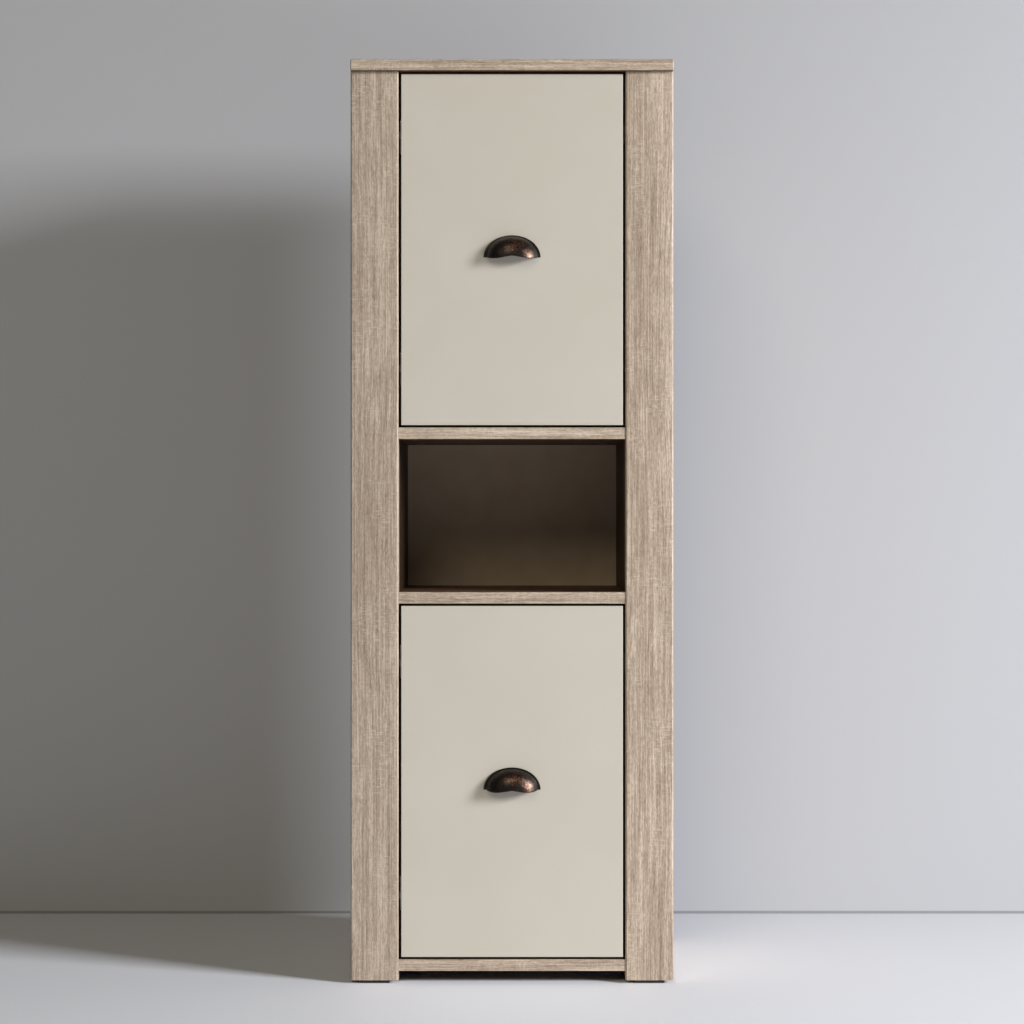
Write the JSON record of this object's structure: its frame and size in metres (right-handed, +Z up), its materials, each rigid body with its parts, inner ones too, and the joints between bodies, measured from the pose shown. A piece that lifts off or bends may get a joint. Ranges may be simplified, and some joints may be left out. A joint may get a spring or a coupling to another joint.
{
  "type": "tall bathroom cabinet",
  "caption": "Tall narrow cabinet with broad oak-look posts, an inset door above and below an open niche, cup pulls and adjustable shelves.",
  "frame": {"origin": "on the floor, at the middle of the whole cabinet's footprint with its pulls", "axes": "+Z up, -Y out of the front, +X to the right as seen from the front"},
  "size_m": [0.5, 0.362, 1.43],
  "materials": {
    "sawn_oak_board": "light greyish saw-cut oak decor with synchronised grain",
    "dark_side_board": "dark brown wood decor, matt",
    "door_lacquer": "plain cream foil, matt",
    "back_board": "taupe brown printed hardboard, matt",
    "aged_bronze": "dark aged bronze with coppery worn places",
    "nickel_steel": "nickel-plated pressed steel",
    "zinc_steel": "bright zinc plate",
    "zinc_casting": "plain zinc die casting",
    "beech": "fluted beech dowel",
    "black_plastic": "moulded black plastic",
    "soft_rubber": "clear-grey soft pad"
  },
  "bodies": {
    "carcass": {"arm_screws": "zinc_steel", "back_nails": "zinc_steel", "back_panel": "back_board", "bottom_panel": "sawn_oak_board", "cam_bolts": "zinc_steel", "cam_locks": "zinc_casting", "door_bumpers": "soft_rubber", "left_front_glide": "black_plastic", "left_inner_side": "dark_side_board", "left_outer_side": "sawn_oak_board", "left_post": "sawn_oak_board", "left_rear_glide": "black_plastic", "left_rear_stile": "dark_side_board", "lower_door_bottom_hinge_arm": "nickel_steel", "lower_door_bottom_hinge_plate": "nickel_steel", "lower_door_stop": "black_plastic", "lower_door_top_hinge_arm": "nickel_steel", "lower_door_top_hinge_plate": "nickel_steel", "lower_fixed_shelf": "sawn_oak_board", "lower_loose_shelf": "dark_side_board", "lower_shelf_pegs": "zinc_steel", "plate_screws": "zinc_steel", "post_dowels": "beech", "rear_rail": "dark_side_board", "right_front_glide": "black_plastic", "right_inner_side": "dark_side_board", "right_outer_side": "sawn_oak_board", "right_post": "sawn_oak_board", "right_rear_glide": "black_plastic", "right_rear_stile": "dark_side_board", "shelf_dowels": "beech", "stop_screws": "zinc_steel", "top_dowels": "beech", "top_panel": "sawn_oak_board", "upper_door_bottom_hinge_arm": "nickel_steel", "upper_door_bottom_hinge_plate": "nickel_steel", "upper_door_stop": "black_plastic", "upper_door_top_hinge_arm": "nickel_steel", "upper_door_top_hinge_plate": "nickel_steel", "upper_fixed_shelf": "sawn_oak_board", "upper_loose_shelf": "dark_side_board", "upper_shelf_pegs": "zinc_steel"},
    "lower_door": {"lower_cup_screws": "zinc_steel", "lower_door": "door_lacquer", "lower_door_bottom_hinge_cup": "nickel_steel", "lower_door_bottom_hinge_pin": "nickel_steel", "lower_door_top_hinge_cup": "nickel_steel", "lower_door_top_hinge_pin": "nickel_steel", "lower_pull": "aged_bronze", "lower_pull_screws": "zinc_steel"},
    "upper_door": {"upper_cup_screws": "zinc_steel", "upper_door": "door_lacquer", "upper_door_bottom_hinge_cup": "nickel_steel", "upper_door_bottom_hinge_pin": "nickel_steel", "upper_door_top_hinge_cup": "nickel_steel", "upper_door_top_hinge_pin": "nickel_steel", "upper_pull": "aged_bronze", "upper_pull_screws": "zinc_steel"}
  },
  "joints": [
    {"name": "lower_door_hinge", "type": "hinge", "parent": "carcass", "child": "lower_door", "pos_m": [-0.1597, -0.1488, 0.3125], "axis": [0, 0, -1], "range_deg": [0, 95]},
    {"name": "upper_door_hinge", "type": "hinge", "parent": "carcass", "child": "upper_door", "pos_m": [-0.1597, -0.1488, 1.1365], "axis": [0, 0, -1], "range_deg": [0, 95]}
  ]
}
